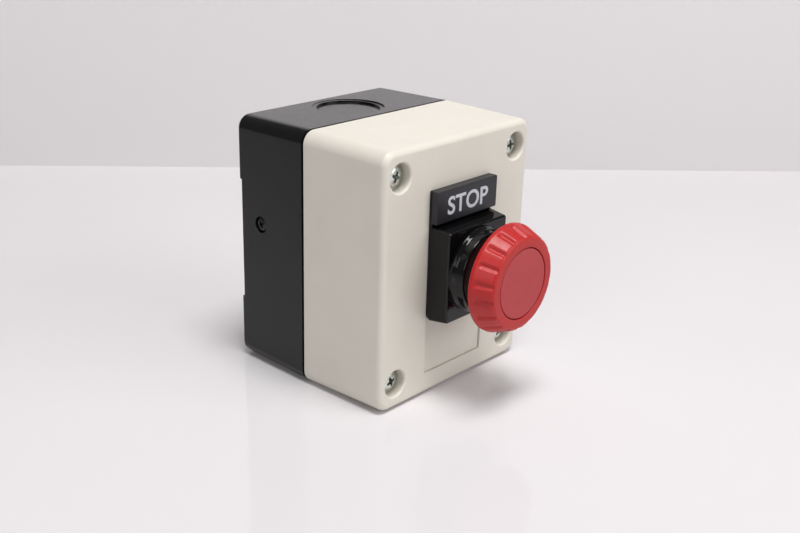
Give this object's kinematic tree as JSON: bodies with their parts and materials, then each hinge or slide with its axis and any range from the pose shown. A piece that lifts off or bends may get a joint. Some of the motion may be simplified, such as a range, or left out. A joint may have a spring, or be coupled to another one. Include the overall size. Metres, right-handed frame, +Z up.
{
  "type": "emergency stop station",
  "caption": "Two-part plastic box with a red fluted mushroom push button, legend plate and contact blocks inside; push to stop, turn to reset.",
  "frame": {"origin": "bottom centre of the bounding box, on the surface that the box stands on", "axes": "+X to the right seen from the button's side, +Y from the button into the box (the box's back faces +Y), +Z up"},
  "size_m": [0.081, 0.1046, 0.097],
  "materials": {
    "cream_abs": "satin moulded, warm ivory",
    "black_abs": "satin moulded black",
    "gloss_black_nylon": "glossy black",
    "legend_grey": "matt dark grey with a white legend",
    "red_abs": "glossy red",
    "red_matte": "fine-textured matt red",
    "white_acetal": "satin natural white",
    "green_nylon": "satin green",
    "rubber": "matt black",
    "zinc_plated_steel": "zinc plated, faintly greenish",
    "black_zinc_steel": "black passivated",
    "spring_steel": "drawn wire",
    "brass": "plain stamped"
  },
  "bodies": {
    "enclosure": {"front_cover": "cream_abs", "rear_base": "black_abs", "cover_gasket": "rubber", "earth_screw": "black_zinc_steel", "earth_terminal": "brass", "bezel_housing": "gloss_black_nylon", "nameplate_holder": "black_abs", "legend_plate": "legend_grey", "panel_gasket": "rubber", "lock_washer": "zinc_plated_steel", "mounting_nut": "black_abs", "latch_clip": "spring_steel", "stem_seal": "rubber", "barrel_bush": "white_acetal", "return_spring": "spring_steel", "contact_carrier": "black_abs", "carrier_screw": "zinc_plated_steel", "cover_screw_1": "zinc_plated_steel", "threaded_insert_1": "brass", "cover_screw_2": "zinc_plated_steel", "threaded_insert_2": "brass", "cover_screw_3": "zinc_plated_steel", "threaded_insert_3": "brass", "cover_screw_4": "zinc_plated_steel", "threaded_insert_4": "brass", "nc_housing": "black_abs", "nc_side_cover": "black_abs", "nc_return_spring": "spring_steel", "nc_terminal_upper": "brass", "nc_clamp_upper": "zinc_plated_steel", "nc_screw_upper": "zinc_plated_steel", "nc_terminal_lower": "brass", "nc_clamp_lower": "zinc_plated_steel", "nc_screw_lower": "zinc_plated_steel", "no_housing": "black_abs", "no_side_cover": "black_abs", "no_return_spring": "spring_steel", "no_terminal_upper": "brass", "no_clamp_upper": "zinc_plated_steel", "no_screw_upper": "zinc_plated_steel", "no_terminal_lower": "brass", "no_clamp_lower": "zinc_plated_steel", "no_screw_lower": "zinc_plated_steel"},
    "actuator": {"actuator_stem": "white_acetal", "pusher_disc": "white_acetal"},
    "head": {"mushroom_head": "red_abs", "head_cap": "red_matte", "head_screw": "zinc_plated_steel", "latch_cam": "white_acetal"},
    "nc_contact": {"nc_plunger": "red_abs", "nc_bridge": "brass", "nc_contact_spring": "spring_steel"},
    "no_contact": {"no_plunger": "green_nylon", "no_bridge": "brass", "no_contact_spring": "spring_steel"}
  },
  "joints": [
    {"name": "button_press", "type": "slide", "parent": "enclosure", "child": "actuator", "axis": [0, 1, 0], "range_m": [0, 0.0045], "stiffness_N_per_m": 2500, "deforming": ["return_spring"]},
    {"name": "head_turn", "type": "hinge", "parent": "actuator", "child": "head", "pos_m": [0, -0.05225, 0.0488], "axis": [0, 1, 0], "range_deg": [0, 45], "stiffness_Nm_per_rad": 0.05},
    {"name": "nc_plunger_slide", "type": "slide", "parent": "enclosure", "child": "nc_contact", "axis": [0, 1, 0], "range_m": [0, 0.0045], "stiffness_N_per_m": 150, "deforming": ["nc_return_spring"]},
    {"name": "no_plunger_slide", "type": "slide", "parent": "enclosure", "child": "no_contact", "axis": [0, 1, 0], "range_m": [0, 0.0045], "stiffness_N_per_m": 150, "deforming": ["no_return_spring"]}
  ],
  "couplings": [
    {"joint": "nc_plunger_slide", "follows": "button_press", "ratio": 1},
    {"joint": "no_plunger_slide", "follows": "button_press", "ratio": 1}
  ]
}
